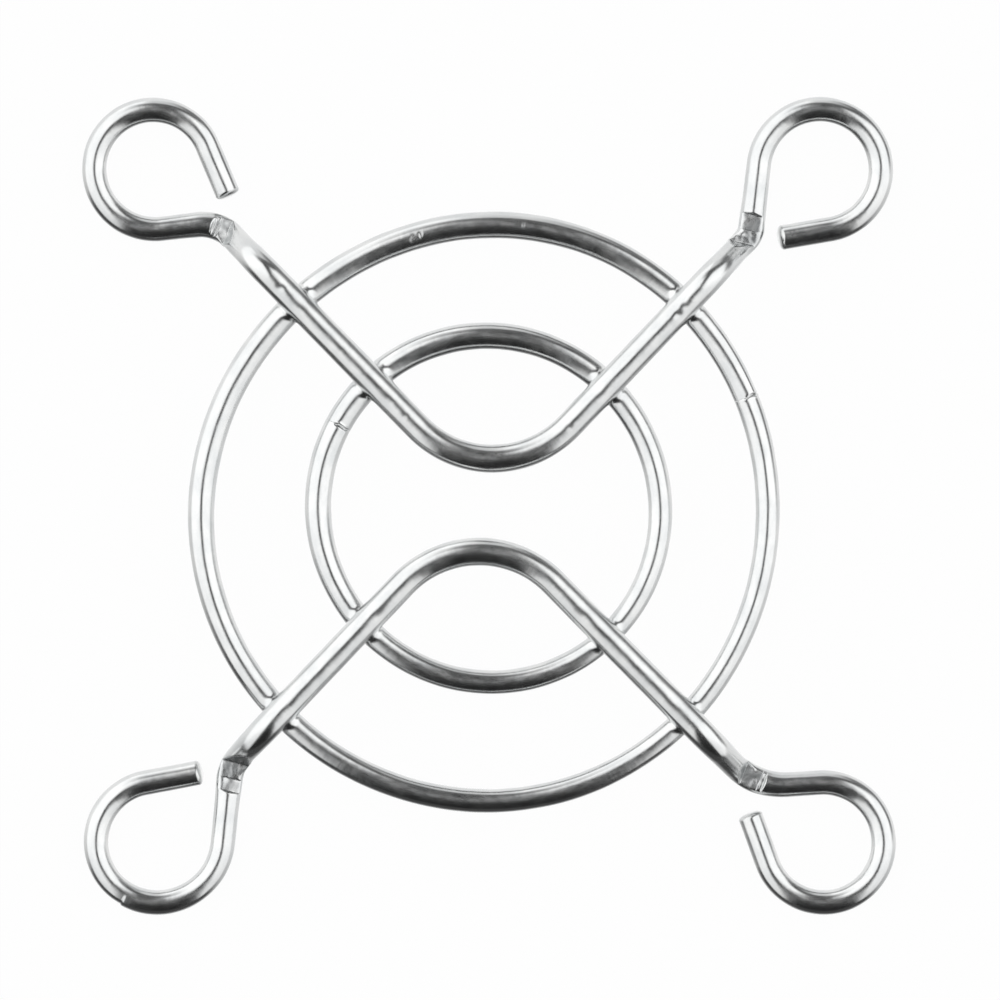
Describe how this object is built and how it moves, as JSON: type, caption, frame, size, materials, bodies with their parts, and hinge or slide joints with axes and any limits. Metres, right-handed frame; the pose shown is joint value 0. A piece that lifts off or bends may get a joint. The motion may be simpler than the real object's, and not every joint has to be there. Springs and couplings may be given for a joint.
{
  "type": "wire fan cover",
  "caption": "Wire guard for a small axial fan: round wire rings welded under crossed bent wires, whose stepped-down ends curl into open screw eyelets.",
  "frame": {"origin": "middle of the four screw eyelets, on the face of the fan that they rest on", "axes": "+Z away from the fan, towards the viewer; +X right and +Y up in the picture's view of the front"},
  "size_m": [0.039, 0.0392, 0.0034],
  "materials": {
    "plated_wire": "polished"
  },
  "bodies": {
    "root": {"upper_bent_wire": "plated_wire", "lower_bent_wire": "plated_wire", "outer_ring": "plated_wire", "inner_ring": "plated_wire"}
  },
  "joints": []
}
